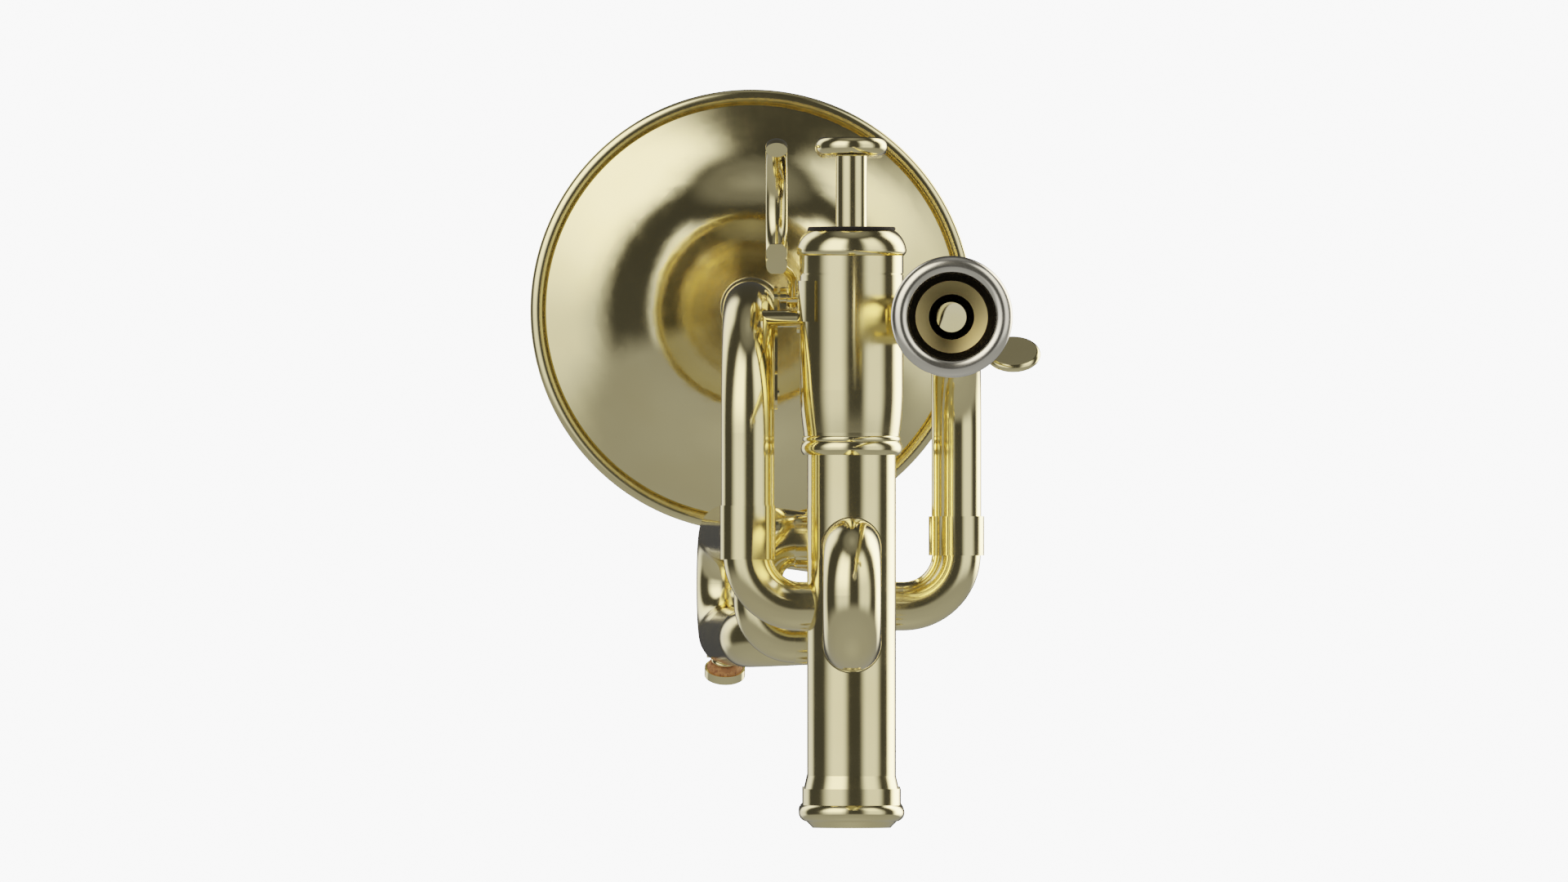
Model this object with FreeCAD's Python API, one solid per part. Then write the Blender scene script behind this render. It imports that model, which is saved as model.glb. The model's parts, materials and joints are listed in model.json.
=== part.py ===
import FreeCAD, Part
import math
import os

# Flugelhorn, in millimetres.  +X is the player's right, +Y runs forward to the bell, +Z is up.
# The origin is on the middle valve's axis, in the plane of the three bottom caps' flat undersides.

V = FreeCAD.Vector
UP = V(0, 0, 1)
RIGHT = V(1, 0, 0)
FORWARD = V(0, 1, 0)

# ---- valves -------------------------------------------------------------------------------------
VALVE_SPACING = 27.0
VALVE_Y = {1: -VALVE_SPACING, 2: 0.0, 3: VALVE_SPACING}
TRAVEL = 15.0
KNUCKLE_Z = {1: 56.0, 2: 50.0}   # from each valve to the next
CASING_R = 9.9            # lower casing, outside
BORE_R = 8.9              # polished bore that guides the piston
PISTON_R = 8.86
SHOULDER_R = 11.55        # upper casing, outside
SPRING_ROOM_R = 10.0      # bore of the upper casing
CASING_Z = 6.0
LEDGE_Z = 84.0            # the valve guide rests here
CASING_TOP_Z = 127.4
BEAD_Z = 83.05
CAP_TOP_Z = 132.9
FELT_T = 1.0
STEM_R = 3.46
BUTTON_Z = 149.6
BUTTON_TOP_Z = 153.8
BUTTON_R = 8.03
PISTON_Z = 27.5
PISTON_TOP_Z = 80.0
BARREL_TOP_Z = 121.0
BARREL_R = 7.9
BARREL_BORE_R = 6.7
GUIDE_T = 2.4
GUIDE_W = 3.0
SPRING_R = 5.2
SPRING_WIRE_R = 0.45
SPRING_TURNS = 8
SPRING_SIDES = 8

# ---- tubes --------------------------------------------------------------------------------------
RUNNING = 0.05            # radial clearance of a tube that slides in another
PORT_R = 4.6

PIPE_X = 21.5             # mouthpiece, receiver and tuning sleeve
PIPE_Z = 113.2
PIPE_DOWN_X = 23.6        # where the leadpipe comes down beside valve 3
PIPE_R = 5.58
PIPE_BORE_R = 4.95
PIPE_BEND_R = 25.0
PIPE_ELBOW_Z = 49.1
PIPE_ELBOW_R = 11.9
PIPE_JOINT_Z = 65.0

TAIL_X = -23.1            # the bell's tail, beside valve 1
TAIL_R = 5.95
TAIL_BORE_R = 5.3
TAIL_BEND_R = 28.0
TAIL_END_Y = 25.0
TAIL_JOINT_Z = 66.0
TAIL_ELBOW_Z = 49.33
TAIL_ELBOW_R = 11.65
ELBOW_R = 5.48
ELBOW_BORE_R = 4.8

BELL_X = -22.5
BELL_Z = 116.05
BELL_RIM_Y = 213.0
BELL_RIM_R = 50.8
BELL_WALL = 0.8
BEAD_HALF_WIDTH = 1.8     # rim bead, radially
BEAD_HALF_DEPTH = 1.3     # rim bead, along the axis
RIM_WIRE_R = 0.85

SLIDE1_Z = (41.4, 62.6)
SLIDE1_SLEEVE_END_Y = -66.0
SLIDE1_BOW_Y = -75.0
SLIDE2_Z = (42.05, 63.65)
SLIDE2_X = -20.8
SLIDE3_Z = (42.0, 65.3)
SLIDE3_PORT_Z = (42.8, 62.8)
SLIDE3_X = -22.5
SLIDE3_ANGLE = math.radians(3.37)
SLIDE3_SLEEVE = 64.0      # length of the outer tubes, from the elbow's corner
SLIDE3_BOW = 91.0         # from the elbow's corner to the bow's centre
OUTWARD = V(-math.sin(SLIDE3_ANGLE), math.cos(SLIDE3_ANGLE), 0)
ACROSS = V(math.cos(SLIDE3_ANGLE), math.sin(SLIDE3_ANGLE), 0)

# ---- trigger ------------------------------------------------------------------------------------
TRIGGER_Y = -12.0
TRIGGER_Z = 118.5
TRIGGER_PIN_R = 0.9
PIN_X = (-17.3, -10.8)
TRIGGER_SWING = math.radians(18)   # to each side of the vertical
CRANK_DROP = 21.5
HOOK_X = -16.7
HOOK_W = 4.8
HOOK_R = 13.1
HOOK_Y = -19.0
HOOK_Z = 138.8
HOOK_T = 3.4
HOOK_TIP = 112            # degrees of arc above the hook's front
HOOK_END = 100            # degrees of arc below it
FOOT_FACE_TILT = 17       # degrees that the foot's face looks down

# ---- water key ----------------------------------------------------------------------------------
KEY_ANGLE = math.radians(29)
KEY_CORK_R = 4.15
KEY_CORK_FACE = 3.52      # out from the bow's tube
KEY_CORK_BACK = 5.0
KEY_CUP_R = 4.62


def save(node, shape):
    """Write one node's solids to its STEP file."""
    solids = shape.Solids
    if not solids or not shape.isValid():
        raise RuntimeError(node + " is not a valid solid")
    body = solids[0] if len(solids) == 1 else Part.makeCompound(solids)
    body.exportStep("parts/" + node + ".step")


def rod(start, end, radius):
    """A round bar between two points."""
    run = end - start
    return Part.makeCylinder(radius, run.Length, start, run)


def ring(start, end, outer, inner):
    """A straight tube between two points."""
    return rod(start, end, outer).cut(rod(start, end, inner))


def block(low, high):
    """A box between two corners."""
    size = high - low
    return Part.makeBox(size.x, size.y, size.z, low)


def route(points, radii):
    """Straight runs joined by tangent arcs, one radius for each inner point."""
    edges = []
    start = points[0]
    for before, corner, after, radius in zip(points, points[1:], points[2:], radii):
        back = (before - corner).normalize()
        ahead = (after - corner).normalize()
        half = back.getAngle(ahead) / 2
        reach = radius / math.tan(half)
        middle = (back + ahead).normalize()
        first = corner + back * reach
        last = corner + ahead * reach
        top = corner + middle * (radius / math.sin(half) - radius)
        if (first - start).Length > 1e-6:
            edges.append(Part.LineSegment(start, first).toShape())
        edges.append(Part.Arc(first, top, last).toShape())
        start = last
    if (points[-1] - start).Length > 1e-6:
        edges.append(Part.LineSegment(start, points[-1]).toShape())
    return Part.Wire(edges)


def sweep(path, radius):
    """A solid round bar along a route."""
    edge = path.Edges[0]
    start = edge.valueAt(edge.FirstParameter)
    heading = edge.tangentAt(edge.FirstParameter)
    circle = Part.Wire(Part.makeCircle(radius, start, heading))
    return path.makePipeShell([circle], True, False)


def bent_tube(points, radii, outer, inner):
    """A tube along a route."""
    path = route(points, radii)
    return sweep(path, outer).cut(sweep(path, inner))


def outline(items):
    """A closed wire in the XZ plane: points, and ("arc", middle, end) for round stretches."""
    edges = []
    start = items[0]
    for item in items[1:] + [items[0]]:
        end = item[2] if item[0] == "arc" else item
        a = V(start[0], 0, start[1])
        b = V(end[0], 0, end[1])
        if item[0] == "arc":
            middle = V(item[1][0], 0, item[1][1])
            edges.append(Part.Arc(a, middle, b).toShape())
        elif (b - a).Length > 1e-6:
            edges.append(Part.LineSegment(a, b).toShape())
        start = end
    return Part.Wire(edges)


def lathe(items):
    """A turned piece about the Z axis, from (radius, height) points."""
    return Part.Face(outline(items)).revolve(V(0, 0, 0), UP, 360)


def along_y(shape, x, z):
    """Lay a turned piece down so that its height runs along +Y."""
    shape.rotate(V(0, 0, 0), RIGHT, -90)
    shape.translate(V(x, 0, z))
    return shape


def stand(shape, y):
    """Move a turned piece to a valve's axis."""
    shape.translate(V(0, y, 0))
    return shape


# ---- valves -------------------------------------------------------------------------------------

def casing_ports(number):
    """Bars that open the casing where tubes enter it."""
    y = VALVE_Y[number]
    bars = []
    if number == 1:
        bars.append(rod(V(0, y, TAIL_ELBOW_Z), V(-20, y, TAIL_ELBOW_Z), ELBOW_BORE_R))
        bars += [rod(V(0, y, z), V(0, y - 20, z), PORT_R) for z in SLIDE1_Z]
    if number == 2:
        bars += [rod(V(0, y, z), V(-20, y, z), PORT_R + 0.4) for z in SLIDE2_Z]
    if number == 3:
        bars.append(rod(V(0, y, PIPE_ELBOW_Z), V(20, y, PIPE_ELBOW_Z), ELBOW_BORE_R))
        bars += [rod(V(0, y, z), V(-20, y, z), PORT_R) for z in SLIDE3_PORT_Z]
    if number < 3:
        bars.append(rod(V(0, y, KNUCKLE_Z[number]), V(0, y + 20, KNUCKLE_Z[number]), PORT_R))
    if number > 1:
        bars.append(rod(V(0, y, KNUCKLE_Z[number - 1]), V(0, y - 20, KNUCKLE_Z[number - 1]), PORT_R))
    return bars


def valve_casing(number):
    """Lower tube, two beads, and the wider upper tube that houses the spring."""
    shell = lathe([
        (BORE_R, CASING_Z), (CASING_R, CASING_Z), (CASING_R, BEAD_Z), (10.8, BEAD_Z),
        ("arc", (11.36, BEAD_Z + 1.5), (10.8, BEAD_Z + 3.0)),
        ("arc", (10.98, BEAD_Z + 3.6), (10.7, BEAD_Z + 4.2)),
        (10.78, 88.0), ("arc", (11.3, 92.4), (SHOULDER_R, 97.5)), (SHOULDER_R, 123.1), (11.3, 123.1),
        (11.3, 123.5), (SHOULDER_R, 123.5), (SHOULDER_R, CASING_TOP_Z),
        (SPRING_ROOM_R, CASING_TOP_Z), (SPRING_ROOM_R, LEDGE_Z), (BORE_R, LEDGE_Z),
    ])
    stand(shell, VALVE_Y[number])
    for bar in casing_ports(number):
        shell = shell.cut(bar)
    return shell


def bottom_cap(y):
    """Screwed cup with a rolled bead, a straight band and a cone, flat underneath."""
    return stand(lathe([
        (0, 0), (8.67, 0), (10.05, 1.42), ("arc", (11.8, 3.3), (11.0, 5.06)), (11.0, 8.7),
        (10.55, 8.7), (CASING_R, 11.6), (CASING_R, CASING_Z), (8.4, CASING_Z), (8.4, 4.0), (0, 4.0),
    ]), y)


def top_cap(y):
    """Bulged cap with a hole for the stem and a threaded plug inside the casing."""
    hole = STEM_R + RUNNING
    return stand(lathe([
        (hole, CAP_TOP_Z), (9.8, CAP_TOP_Z), ("arc", (11.35, 131.2), (12.2, 128.9)),
        ("arc", (12.05, 127.9), (11.5, CASING_TOP_Z)), (SPRING_ROOM_R - 0.02, CASING_TOP_Z),
        (SPRING_ROOM_R - 0.02, 123.0), (9.0, 123.0), (9.0, 130.9), (hole, 130.9),
    ]), y)


def cap_felt(y):
    """Felt washer on the top cap."""
    low = V(0, y, CAP_TOP_Z)
    return ring(low, low + UP * FELT_T, 9.8, STEM_R + 0.1)


def piston(y):
    """Piston with three passages, and the slotted spring barrel on top of it."""
    body = lathe([
        (0, PISTON_Z), (PISTON_R - 0.4, PISTON_Z), (PISTON_R, PISTON_Z + 0.4),
        (PISTON_R, PISTON_TOP_Z), (BARREL_R, PISTON_TOP_Z), (BARREL_R, BARREL_TOP_Z),
        (BARREL_BORE_R, BARREL_TOP_Z), (BARREL_BORE_R, PISTON_TOP_Z + 1), (0, PISTON_TOP_Z + 1),
    ])
    for z, heading in ((TAIL_ELBOW_Z, RIGHT), (64.6, FORWARD), (35.0, FORWARD)):
        middle = V(0, 0, z)
        body = body.cut(rod(middle - heading * 12, middle + heading * 12, PORT_R))
    slot = GUIDE_W / 2 + 0.2
    body = body.cut(block(V(-12, -slot, LEDGE_Z - 1), V(12, slot, LEDGE_Z + GUIDE_T + TRAVEL + 1)))
    return stand(body, y)


def valve_stem(y):
    """Screwed lid of the spring barrel and the rod that carries the button."""
    return stand(lathe([
        (0, BARREL_TOP_Z - 1.5), (BARREL_BORE_R, BARREL_TOP_Z - 1.5), (BARREL_BORE_R, BARREL_TOP_Z),
        (STEM_R, BARREL_TOP_Z + 1), (STEM_R, BUTTON_Z), (0, BUTTON_Z),
    ]), y)


def button(y):
    """Finger button with a full round edge and a shallow recess for the inlay."""
    middle = (BUTTON_Z + BUTTON_TOP_Z) / 2
    return stand(lathe([
        (0, BUTTON_Z), (6.2, BUTTON_Z), ("arc", (BUTTON_R, middle), (6.6, BUTTON_TOP_Z)),
        (5.8, BUTTON_TOP_Z), (5.8, BUTTON_TOP_Z - 0.5), (0, BUTTON_TOP_Z - 0.5),
    ]), y)


def valve_guide(y):
    """Disc inside the barrel, with a bar through both slots that rests on the casing's ledge."""
    low = V(0, y, LEDGE_Z)
    disc = rod(low, low + UP * GUIDE_T, BARREL_BORE_R - 0.15)
    bar = block(V(-9.9, y - GUIDE_W / 2, LEDGE_Z), V(9.9, y + GUIDE_W / 2, LEDGE_Z + GUIDE_T))
    room = rod(low, low + UP * GUIDE_T, SPRING_ROOM_R - 0.05)
    return disc.fuse(bar.common(room)).cut(rod(low, low + UP * GUIDE_T, 1.5)).removeSplitter()


def valve_spring(y):
    """Coil spring between the guide and the barrel's lid, bent from short runs and tangent arcs."""
    low = LEDGE_Z + GUIDE_T + SPRING_WIRE_R
    rise = BARREL_TOP_Z - 1.5 - SPRING_WIRE_R - 0.1 - low
    count = SPRING_TURNS * SPRING_SIDES
    points = []
    for step in range(count + 1):
        turn = 2 * math.pi * step / SPRING_SIDES
        height = low + rise * step / count
        points.append(V(SPRING_R * math.cos(turn), y + SPRING_R * math.sin(turn), height))
    run = (points[1] - points[0]).Length
    bend = 0.48 * run / math.tan(math.pi / SPRING_SIDES)
    return sweep(route(points, [bend] * (count - 1)), SPRING_WIRE_R)


def knuckle(number):
    """Short tube that joins one valve to the next."""
    z = KNUCKLE_Z[number]
    y = VALVE_Y[number]
    tube = ring(V(0, y, z), V(0, y + VALVE_SPACING, z), PORT_R + 0.7, PORT_R)
    return tube.cut(casing_core(y)).cut(casing_core(y + VALVE_SPACING))


def casing_core(y):
    """The space that a casing fills, for trimming what meets it."""
    lower = rod(V(0, y, 0), V(0, y, LEDGE_Z), CASING_R)
    return lower.fuse(rod(V(0, y, LEDGE_Z), V(0, y, CASING_TOP_Z), SHOULDER_R))


# ---- leadpipe side ------------------------------------------------------------------------------

def mouthpiece():
    """Rim, deep cup, throat and tapered shank; the rim's face looks back along -Y."""
    return along_y(lathe([
        (9.4, -198.9), ("arc", (10.2, -199.8), (11.6, -200.0)), ("arc", (12.9, -199.1), (13.24, -197.4)),
        ("arc", (12.9, -195.7), (12.1, -194.7)), (11.2, -188), ("arc", (9.2, -179.5), (6.6, -172.5)),
        (6.6, -171.5), (5.9, -169), (5.7, -161), (4.7, -139), (4.1, -139), (3.29, -172),
        (3.29, -177), (4.94, -184.5), (7.88, -189.5),
    ]), PIPE_X, PIPE_Z)


def tuning_shank():
    """Receiver for the mouthpiece, on the inner tuning tube."""
    gap = 0.03
    return along_y(lathe([
        (5.66 + gap, -160), (6.6, -160), (7.2, -159), (7.2, -156.5), (6.6, -156), (6.6, -138),
        (5.55, -135), (5.55, -98), (4.9, -98), (4.9, -137), (4.7 + gap, -139),
    ]), PIPE_X, PIPE_Z)


def tuning_sleeve():
    """Outer tube of the tuning slide, split at its rear end so that the clamp can squeeze it."""
    sleeve = along_y(lathe([(5.6, -132), (6.3, -132), (6.3, -88), (5.6, -88)]), PIPE_X, PIPE_Z)
    slit = block(V(PIPE_X - 0.4, -133, PIPE_Z - 8), V(PIPE_X + 0.4, -118, PIPE_Z))
    return sleeve.cut(slit)


CLAMP_Y = (-130.0, -122.0)
CLAMP_MIDDLE_Y = -126.0
SCREW_Z = 105.2
SCREW_R = 1.5
PADDLE_X = 35.3
PADDLE_R = 6.05
PADDLE_LEAN = math.degrees(math.acos(0.58))


def clamp_collar():
    """Split ring with two ears that the thumb screw draws together."""
    start = V(PIPE_X, CLAMP_Y[0], PIPE_Z)
    end = V(PIPE_X, CLAMP_Y[1], PIPE_Z)
    collar = rod(start, end, 7.7)
    for low_x, high_x in ((PIPE_X - 4.2, PIPE_X - 0.8), (PIPE_X + 0.8, PIPE_X + 4.2)):
        collar = collar.fuse(block(V(low_x, CLAMP_Y[0], 102.4), V(high_x, CLAMP_Y[1], 109)))
    collar = collar.cut(rod(start, end, 6.32))
    collar = collar.cut(block(V(PIPE_X - 0.8, CLAMP_Y[0], 100), V(PIPE_X + 0.8, CLAMP_Y[1], PIPE_Z)))
    bolt = rod(V(0, CLAMP_MIDDLE_Y, SCREW_Z), V(40, CLAMP_MIDDLE_Y, SCREW_Z), SCREW_R + RUNNING)
    return collar.cut(bolt).removeSplitter()


def clamp_screw():
    """Thumb screw: a shank along X with a flat round paddle for its head."""
    half = 1.05
    paddle = lathe([
        (0, -half), (5.2, -half), ("arc", (PADDLE_R, 0), (5.2, half)), (0, half),
    ])
    paddle.rotate(V(0, 0, 0), RIGHT, 90 - PADDLE_LEAN)
    paddle.translate(V(PADDLE_X, CLAMP_MIDDLE_Y, SCREW_Z))
    shank = rod(V(16.4, CLAMP_MIDDLE_Y, SCREW_Z), V(PADDLE_X - 4, CLAMP_MIDDLE_Y, SCREW_Z), SCREW_R)
    neck = rod(V(27.4, CLAMP_MIDDLE_Y, SCREW_Z), V(29.2, CLAMP_MIDDLE_Y, SCREW_Z), 2.3)
    return paddle.fuse(shank).fuse(neck).removeSplitter()


def leadpipe():
    """Straight run from the sleeve, then the bend down beside valve 3."""
    points = [
        V(PIPE_X, -97, PIPE_Z), V(PIPE_X, -60, PIPE_Z), V(PIPE_DOWN_X, VALVE_Y[3], PIPE_Z),
        V(PIPE_DOWN_X, VALVE_Y[3], PIPE_JOINT_Z),
    ]
    return bent_tube(points, [300, PIPE_BEND_R], PIPE_R, PIPE_BORE_R)


def leadpipe_ferrule():
    """Sleeve over the joint between leadpipe and elbow."""
    x = PIPE_DOWN_X
    y = VALVE_Y[3]
    shell = rod(V(x, y, 60.5), V(x, y, 69.3), 6.24)
    shell = shell.cut(rod(V(x, y, 60.5), V(x, y, PIPE_JOINT_Z), ELBOW_R))
    return shell.cut(rod(V(x, y, PIPE_JOINT_Z), V(x, y, 69.3), PIPE_R))


def leadpipe_elbow():
    """Elbow from the ferrule into valve 3."""
    y = VALVE_Y[3]
    points = [V(5, y, PIPE_ELBOW_Z), V(PIPE_DOWN_X, y, PIPE_ELBOW_Z), V(PIPE_DOWN_X, y, PIPE_JOINT_Z)]
    return bent_tube(points, [PIPE_ELBOW_R], ELBOW_R, ELBOW_BORE_R).cut(casing_core(y))


# ---- bell side ----------------------------------------------------------------------------------

def bell_elbow_route():
    y = VALVE_Y[1]
    points = [V(-5, y, TAIL_ELBOW_Z), V(TAIL_X, y, TAIL_ELBOW_Z), V(TAIL_X, y, TAIL_JOINT_Z)]
    return route(points, [TAIL_ELBOW_R])


def bell_elbow():
    """Elbow from valve 1 up to the bell's tail."""
    path = bell_elbow_route()
    return sweep(path, ELBOW_R).cut(sweep(path, ELBOW_BORE_R)).cut(casing_core(VALVE_Y[1]))


def bell_tail_ferrule():
    """Sleeve over the joint between elbow and bell tail."""
    y = VALVE_Y[1]
    shell = rod(V(TAIL_X, y, 59.8), V(TAIL_X, y, 71.8), 6.2)
    shell = shell.cut(sweep(bell_elbow_route(), ELBOW_R))
    return shell.cut(rod(V(TAIL_X, y, TAIL_JOINT_Z), V(TAIL_X, y, 71.8), TAIL_R))


def tail_points():
    y = VALVE_Y[1]
    return [V(TAIL_X, y, TAIL_JOINT_Z), V(TAIL_X, y, BELL_Z - 0.15), V(BELL_X, TAIL_END_Y, BELL_Z)]


def bell_tail():
    """Tube that rises beside valve 1 and bends forward into the bell."""
    return bent_tube(tail_points(), [TAIL_BEND_R], TAIL_R, TAIL_BORE_R)


GARLAND_R = 6.95          # widest, with a hair of room for the brace that meets it
GARLAND_HALF = 5.0        # half its length


def bell_garland():
    """Ring over the joint between tail and bell."""
    edge = 6.5
    seat = 6.4
    bore = TAIL_R + 0.06
    start = TAIL_END_Y - GARLAND_HALF
    end = TAIL_END_Y + GARLAND_HALF
    return along_y(lathe([
        (bore, start), (edge, start), ("arc", (GARLAND_R - RUNNING, TAIL_END_Y), (edge, end)),
        (seat, end), (seat, TAIL_END_Y), (bore, TAIL_END_Y),
    ]), BELL_X, BELL_Z)


FLARE_POWER = 0.7
FLARE_START = 10.05       # distance past the rim where the flare's formula would be infinite
FLARE_SCALE = 241.6


def flare(back):
    """Outside radius of the bell at a distance back from the rim."""
    return FLARE_SCALE * (FLARE_START + back) ** -FLARE_POWER


def bell():
    """Thin flaring horn; its wall follows one growth law from tail to rim."""
    length = BELL_RIM_Y - TAIL_END_Y
    stations = [0.0, 1.5, 3.5, 6.5, 11, 18, 28, 42, 60, 85, 115, 150, length]
    outer = []
    inner = []
    for back in stations:
        radius = flare(back)
        slope = FLARE_POWER * radius / (FLARE_START + back)
        across = BELL_WALL / math.hypot(1, slope)
        y = BELL_RIM_Y - back
        outer.append(V(radius, 0, y))
        inner.append(V(radius - across, 0, y + across * slope))
    inner[-1] = V(inner[-1].x, 0, TAIL_END_Y)
    edges = []
    for points in (outer, inner):
        curve = Part.BSplineCurve()
        curve.interpolate(points)
        edges.append(curve.toShape())
    edges.append(Part.LineSegment(outer[0], inner[0]).toShape())
    edges.append(Part.LineSegment(outer[-1], inner[-1]).toShape())
    wall = Part.Face(Part.Wire(Part.__sortEdges__(edges)))
    horn = wall.revolve(V(0, 0, 0), UP, 360)
    return along_y(horn, BELL_X, BELL_Z).cut(rim_bead_envelope())


def rim_bead_envelope():
    """The bead's oval section, revolved about the bell's axis."""
    radius = BELL_RIM_R - BEAD_HALF_WIDTH
    oval = Part.Ellipse(V(0, 0, 0), BEAD_HALF_WIDTH, BEAD_HALF_DEPTH).toShape()
    oval.rotate(V(0, 0, 0), RIGHT, 90)
    oval.translate(V(radius, 0, BELL_RIM_Y))
    turned = Part.Face(Part.Wire(oval)).revolve(V(0, 0, 0), UP, 360)
    return along_y(turned, BELL_X, BELL_Z)


def rim_bead():
    """Rolled edge of the bell, open along a fine seam at the front, closed around its wire."""
    radius = BELL_RIM_R - BEAD_HALF_WIDTH
    half = 0.15
    seam = along_y(lathe([
        (radius - half, BELL_RIM_Y), (radius + half, BELL_RIM_Y),
        (radius + half, BELL_RIM_Y + 2), (radius - half, BELL_RIM_Y + 2),
    ]), BELL_X, BELL_Z)
    return rim_bead_envelope().cut(wire_ring(RIM_WIRE_R + 0.02)).cut(seam)


def wire_ring(radius):
    middle = V(BELL_X, BELL_RIM_Y, BELL_Z)
    return Part.makeTorus(BELL_RIM_R - BEAD_HALF_WIDTH, radius, middle, FORWARD)


# ---- braces -------------------------------------------------------------------------------------

BRACE_R = 1.8
BRACE_FOOT_R = 3.1
BRACE_Z = 113.5


def brace(start, end, trims):
    """A round stay with a foot at its casing end, trimmed to the surfaces that it meets."""
    heading = (end - start).normalize()
    stay = rod(start, end, BRACE_R).fuse(rod(start, start + heading * 3.2, BRACE_FOOT_R))
    for trim in trims:
        stay = stay.cut(trim)
    return max(stay.Solids, key=lambda solid: solid.Volume)


def bell_brace_rear():
    """Stay from casing 1 to the bell's tail."""
    tail = sweep(route(tail_points(), [TAIL_BEND_R]), TAIL_R)
    start = V(-9.0, VALVE_Y[1] + 2, BRACE_Z)
    end = V(TAIL_X, VALVE_Y[1] + 12.4, BRACE_Z)
    stay = rod(start, end, BRACE_R).cut(tail).cut(casing_core(VALVE_Y[1])).cut(saddle_plate())
    return min(stay.Solids, key=lambda solid: (solid.CenterOfMass - start).Length)


def bell_brace_front():
    """Stay from casing 3 to the bell's throat."""
    y = VALVE_Y[3]
    throat = rod(V(BELL_X, 0, BELL_Z), V(BELL_X, 60, BELL_Z), GARLAND_R)
    return brace(V(-9.0, y + 3, BRACE_Z), V(BELL_X + 2, y + 3, BRACE_Z), [casing_core(y), throat])


def leadpipe_brace(y):
    """Stay from a casing to the leadpipe."""
    pipe = sweep(route([
        V(PIPE_X, -97, PIPE_Z), V(PIPE_X, -60, PIPE_Z), V(PIPE_DOWN_X, VALVE_Y[3], PIPE_Z),
    ], [300]), PIPE_R)
    return brace(V(9.0, y, PIPE_Z), V(PIPE_X - 1, y, PIPE_Z), [casing_core(y), pipe])


# ---- slides -------------------------------------------------------------------------------------

def first_slide_sleeves():
    """Two outer tubes standing back from valve 1."""
    y = VALVE_Y[1]
    tubes = [ring(V(0, y - 5, z), V(0, SLIDE1_SLEEVE_END_Y, z), 6.75, 5.8) for z in SLIDE1_Z]
    return tubes[0].fuse(tubes[1]).cut(casing_core(y))


def first_slide():
    """U bow with its two inner tubes."""
    low, high = SLIDE1_Z
    radius = (high - low) / 2
    end = SLIDE1_BOW_Y - radius
    bow = bent_tube(
        [V(0, SLIDE1_SLEEVE_END_Y - 0.3, low), V(0, end, low), V(0, end, high),
         V(0, SLIDE1_SLEEVE_END_Y - 0.3, high)], [radius - 0.001] * 2, 6.46, 5.0)
    for z in SLIDE1_Z:
        bow = bow.fuse(ring(V(0, -37.6, z), V(0, SLIDE1_SLEEVE_END_Y - 1, z), 5.8 - RUNNING, 5.0))
    return bow.removeSplitter()


def second_slide_sleeves():
    """Two short outer tubes on valve 2's left."""
    tubes = [ring(V(-5, 0, z), V(-12.5, 0, z), 5.9, PORT_R + 0.4) for z in SLIDE2_Z]
    return tubes[0].fuse(tubes[1]).cut(casing_core(VALVE_Y[2]))


def second_slide():
    """Small U bow that points to the left."""
    low, high = SLIDE2_Z
    start = -12.7
    bow = bent_tube(
        [V(start, 0, low), V(SLIDE2_X, 0, low), V(SLIDE2_X, 0, high), V(start, 0, high)],
        [8.05, 8.05], ELBOW_R, 4.3)
    for z in SLIDE2_Z:
        bow = bow.fuse(ring(V(-9.05, 0, z), V(start - 1, 0, z), PORT_R + 0.4 - RUNNING, 4.3))
    return bow.removeSplitter()


def slide3_point(distance, z):
    """A point on a leg of the third slide, measured from the elbow's corner."""
    return V(SLIDE3_X, VALVE_Y[3], z) + OUTWARD * distance


def third_slide_legs():
    """Two outer tubes that leave valve 3's left side and bend forward."""
    y = VALVE_Y[3]
    legs = []
    for port, z in zip(SLIDE3_PORT_Z, SLIDE3_Z):
        points = [V(-5, y, port), slide3_point(0, z), slide3_point(SLIDE3_SLEEVE, z)]
        legs.append(bent_tube(points, [10.8], 6.65, 5.75).cut(casing_core(y)))
    return legs[0].fuse(legs[1])


def third_slide():
    """U bow with its two inner tubes, and the post that the trigger's rod is soldered to."""
    low, high = SLIDE3_Z
    radius = (high - low) / 2
    bow = bent_tube(
        [slide3_point(SLIDE3_SLEEVE + 0.3, low), slide3_point(SLIDE3_BOW + radius, low),
         slide3_point(SLIDE3_BOW + radius, high), slide3_point(SLIDE3_SLEEVE + 0.3, high)],
        [radius - 0.001] * 2, 6.42, 5.0)
    for z in SLIDE3_Z:
        bow = bow.fuse(ring(slide3_point(20, z), slide3_point(SLIDE3_SLEEVE + 1, z), 5.75 - RUNNING, 5.0))
    return bow.cut(key_bore()).removeSplitter()


# ---- trigger ------------------------------------------------------------------------------------

def pin_point(x):
    return V(x, TRIGGER_Y, TRIGGER_Z)


def saddle_plate():
    """Curved plate on casing 1's left flank."""
    y = VALVE_Y[1]
    plate = ring(V(0, y, 112.7), V(0, y, 121.8), SHOULDER_R + 0.5, SHOULDER_R)
    sector = Part.Face(Part.makePolygon([
        V(0, y, 100), V(-20, y + 20.5, 100), V(-30, y, 100), V(-20, y - 21.5, 100), V(0, y, 100),
    ])).extrude(UP * 40)
    return plate.common(sector)


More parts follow.
